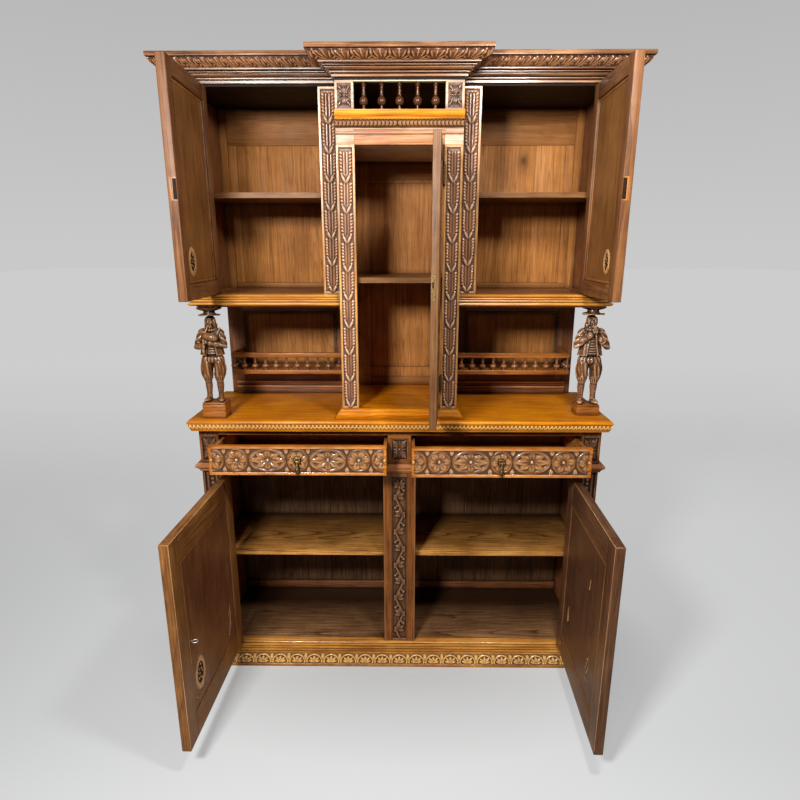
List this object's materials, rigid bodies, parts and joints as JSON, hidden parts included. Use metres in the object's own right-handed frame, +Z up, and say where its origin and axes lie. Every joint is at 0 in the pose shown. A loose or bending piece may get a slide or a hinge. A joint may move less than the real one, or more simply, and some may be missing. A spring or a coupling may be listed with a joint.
{
  "type": "carved buffet cabinet",
  "caption": "Two-part carved oak buffet: doored base under drawers, and a breakfront upper stage with a tall middle cupboard, hanging cupboards on carved figures and spindle galleries.",
  "frame": {"origin": "on the floor, under the middle of the plinth's front board", "axes": "+X to the right seen from the front, +Y towards the back, +Z up"},
  "size_m": [1.61, 1.0655, 2.225],
  "materials": {
    "honey_oak": "waxed, honey orange",
    "brown_oak": "waxed, mid brown",
    "carved_oak": "carved and waxed, dark brown",
    "inner_oak": "unpolished, darkened with age",
    "old_brass": "dull and tarnished"
  },
  "bodies": {
    "case": {"base_back": "inner_oak", "base_door_left_hinge_lower": "old_brass", "base_door_left_hinge_upper": "old_brass", "base_door_right_hinge_lower": "old_brass", "base_door_right_hinge_upper": "old_brass", "base_floor": "inner_oak", "base_shelf": "inner_oak", "base_side_left": "brown_oak", "base_side_right": "brown_oak", "ceiling_board": "inner_oak", "centre_stile": "brown_oak", "corner_post_left": "carved_oak", "corner_post_right": "carved_oak", "cornice": "brown_oak", "countertop": "honey_oak", "cupboard_floor_left": "honey_oak", "cupboard_floor_right": "honey_oak", "cupboard_shelf_left": "inner_oak", "cupboard_shelf_right": "inner_oak", "cupboard_side_left": "brown_oak", "cupboard_side_right": "brown_oak", "cupboard_strip_left": "carved_oak", "cupboard_strip_right": "carved_oak", "drawer_frame": "brown_oak", "figure_left": "carved_oak", "figure_right": "carved_oak", "gallery_left": "brown_oak", "gallery_right": "brown_oak", "pilaster_left": "carved_oak", "pilaster_right": "carved_oak", "plinth": "honey_oak", "tower_door_hinge_lower": "old_brass", "tower_door_hinge_upper": "old_brass", "tower_foot": "honey_oak", "tower_head": "honey_oak", "tower_shelf": "inner_oak", "tower_side_left": "inner_oak", "tower_side_right": "inner_oak", "upper_back": "inner_oak", "upper_door_left_hinge_lower": "old_brass", "upper_door_left_hinge_upper": "old_brass", "upper_door_right_hinge_lower": "old_brass", "upper_door_right_hinge_upper": "old_brass", "waist_moulding": "honey_oak"},
    "base_door_left": {"base_door_left_frame": "brown_oak", "base_door_left_panel": "brown_oak"},
    "base_door_right": {"base_door_right_frame": "brown_oak", "base_door_right_panel": "brown_oak"},
    "upper_door_left": {"upper_door_left_frame": "brown_oak", "upper_door_left_panel": "brown_oak"},
    "upper_door_right": {"upper_door_right_frame": "brown_oak", "upper_door_right_panel": "brown_oak"},
    "tower_door": {"tower_door_frame": "brown_oak", "tower_door_panel": "brown_oak"},
    "drawer_left": {"drawer_left_front": "carved_oak", "drawer_left_box": "inner_oak"},
    "drawer_left_pull": {"drawer_left_pull": "old_brass"},
    "drawer_right": {"drawer_right_front": "carved_oak", "drawer_right_box": "inner_oak"},
    "drawer_right_pull": {"drawer_right_pull": "old_brass"}
  },
  "joints": [
    {"name": "base_door_left_hinge", "type": "hinge", "parent": "case", "child": "base_door_left", "pos_m": [-0.672, 0.0197, 0.4585], "axis": [0, 0, 1], "range_deg": [-18.4, 91.6]},
    {"name": "base_door_right_hinge", "type": "hinge", "parent": "case", "child": "base_door_right", "pos_m": [0.672, 0.0197, 0.4585], "axis": [0, 0, 1], "range_deg": [-88.4, 21.6]},
    {"name": "upper_door_left_hinge", "type": "hinge", "parent": "case", "child": "upper_door_left", "pos_m": [-0.672, 0.1027, 1.808], "axis": [0, 0, 1], "range_deg": [-21.2, 88.8]},
    {"name": "upper_door_right_hinge", "type": "hinge", "parent": "case", "child": "upper_door_right", "pos_m": [0.672, 0.1027, 1.808], "axis": [0, 0, 1], "range_deg": [-89.3, 20.7]},
    {"name": "tower_door_hinge", "type": "hinge", "parent": "case", "child": "tower_door", "pos_m": [0.147, 0.0177, 1.5125], "axis": [0, 0, 1], "range_deg": [-86, 24]},
    {"name": "drawer_left_slide", "type": "slide", "parent": "case", "child": "drawer_left", "axis": [0, -1, 0], "range_m": [-0.14, 0.2]},
    {"name": "drawer_left_pull_swing", "type": "hinge", "parent": "drawer_left", "child": "drawer_left_pull", "pos_m": [-0.3575, -0.124, 0.9154], "axis": [1, 0, 0], "range_deg": [-85, 3]},
    {"name": "drawer_right_slide", "type": "slide", "parent": "case", "child": "drawer_right", "axis": [0, -1, 0], "range_m": [-0.156, 0.184]},
    {"name": "drawer_right_pull_swing", "type": "hinge", "parent": "drawer_right", "child": "drawer_right_pull", "pos_m": [0.3575, -0.14, 0.9154], "axis": [1, 0, 0], "range_deg": [-85, 3]}
  ]
}
